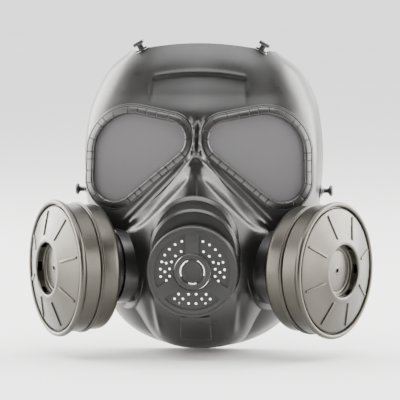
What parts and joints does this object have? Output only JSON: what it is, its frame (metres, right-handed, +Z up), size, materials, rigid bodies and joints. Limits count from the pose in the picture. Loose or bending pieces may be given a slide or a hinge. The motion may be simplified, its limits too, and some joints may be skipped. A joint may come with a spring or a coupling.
{
  "type": "full face respirator",
  "caption": "Rigid full facepiece with tinted eyepieces in raised rims, a round perforated speech grille and screw-on filter canisters angled off the cheeks.",
  "frame": {"origin": "middle of the rear opening plane at the height of the eye datum, where the wearer's head enters", "axes": "+X to the right as seen from the front, -Y the way the face looks, +Z up"},
  "size_m": [0.2662, 0.1407, 0.2385],
  "materials": {
    "shell_black": "satin moulded black",
    "rim_black": "satin black",
    "grille_black": "satin black",
    "seal_rubber": "matt black rubber",
    "smoke_lens": "flat grey tint, polished",
    "clear_film": "clear film",
    "valve_silicone": "translucent silicone",
    "canister_gunmetal": "satin gunmetal grey",
    "fastener_steel": "zinc plated steel",
    "filter_paper": "pleated filter paper",
    "carbon": "packed charcoal granules"
  },
  "bodies": {
    "facepiece": {"facepiece_shell": "shell_black", "speech_housing": "shell_black", "left_inlet_socket": "shell_black", "left_inhalation_valve_seat": "shell_black", "right_inlet_socket": "shell_black", "right_inhalation_valve_seat": "shell_black", "exhalation_valve_seat": "shell_black", "left_lens_rim": "rim_black", "left_side_stud": "rim_black", "left_top_stud": "rim_black", "left_inlet_locknut": "rim_black", "right_lens_rim": "rim_black", "right_side_stud": "rim_black", "right_top_stud": "rim_black", "right_inlet_locknut": "rim_black", "grille_disc": "grille_black", "hub_cover": "grille_black", "face_seal": "seal_rubber", "left_lens_gasket": "seal_rubber", "right_lens_gasket": "seal_rubber", "left_lens": "smoke_lens", "right_lens": "smoke_lens", "speech_diaphragm": "clear_film", "diaphragm_ring": "fastener_steel", "left_rim_screw_1": "fastener_steel", "left_rim_screw_2": "fastener_steel", "left_rim_screw_3": "fastener_steel", "right_rim_screw_1": "fastener_steel", "right_rim_screw_2": "fastener_steel", "right_rim_screw_3": "fastener_steel"},
    "left_gasket": {"left_canister_gasket": "seal_rubber"},
    "left_canister": {"left_canister_rear_housing": "canister_gunmetal", "left_canister_seam_band": "canister_gunmetal", "left_canister_front_housing": "canister_gunmetal", "left_canister_front_cover": "canister_gunmetal", "left_front_screen": "fastener_steel", "left_middle_screen": "fastener_steel", "left_rear_screen": "fastener_steel", "left_carbon_bed": "carbon", "left_particulate_filter": "filter_paper"},
    "left_inhalation_flap": {"left_inhalation_flap": "valve_silicone"},
    "right_gasket": {"right_canister_gasket": "seal_rubber"},
    "right_canister": {"right_canister_rear_housing": "canister_gunmetal", "right_canister_seam_band": "canister_gunmetal", "right_canister_front_housing": "canister_gunmetal", "right_canister_front_cover": "canister_gunmetal", "right_front_screen": "fastener_steel", "right_middle_screen": "fastener_steel", "right_rear_screen": "fastener_steel", "right_carbon_bed": "carbon", "right_particulate_filter": "filter_paper"},
    "right_inhalation_flap": {"right_inhalation_flap": "valve_silicone"},
    "exhalation_flap": {"exhalation_flap": "valve_silicone"}
  },
  "joints": [
    {"name": "left_canister_advance", "type": "slide", "parent": "facepiece", "child": "left_gasket", "axis": [-0.8746, -0.4848, 0], "range_m": [0, 0.0109]},
    {"name": "left_canister_screw", "type": "hinge", "parent": "left_gasket", "child": "left_canister", "pos_m": [-0.06357, -0.06958, -0.052], "axis": [-0.8746, -0.4848, 0], "range_deg": [0, 1080]},
    {"name": "left_inhalation_lift", "type": "slide", "parent": "facepiece", "child": "left_inhalation_flap", "axis": [0.8746, 0.4848, 0], "range_m": [0, 0.002], "stiffness_N_per_m": 30, "springref_m": -0.0005},
    {"name": "right_canister_advance", "type": "slide", "parent": "facepiece", "child": "right_gasket", "axis": [0.8746, -0.4848, 0], "range_m": [0, 0.0109]},
    {"name": "right_canister_screw", "type": "hinge", "parent": "right_gasket", "child": "right_canister", "pos_m": [0.06357, -0.06958, -0.052], "axis": [0.8746, -0.4848, 0], "range_deg": [0, 1080]},
    {"name": "right_inhalation_lift", "type": "slide", "parent": "facepiece", "child": "right_inhalation_flap", "axis": [-0.8746, 0.4848, 0], "range_m": [0, 0.002], "stiffness_N_per_m": 30, "springref_m": -0.0005},
    {"name": "exhalation_lift", "type": "slide", "parent": "facepiece", "child": "exhalation_flap", "axis": [0, -1, 0], "range_m": [0, 0.002], "stiffness_N_per_m": 30, "springref_m": -0.0005}
  ],
  "couplings": [
    {"joint": "left_canister_advance", "follows": "left_canister_screw", "m_per_rad": 0.0005775},
    {"joint": "right_canister_advance", "follows": "right_canister_screw", "m_per_rad": 0.0005775}
  ]
}
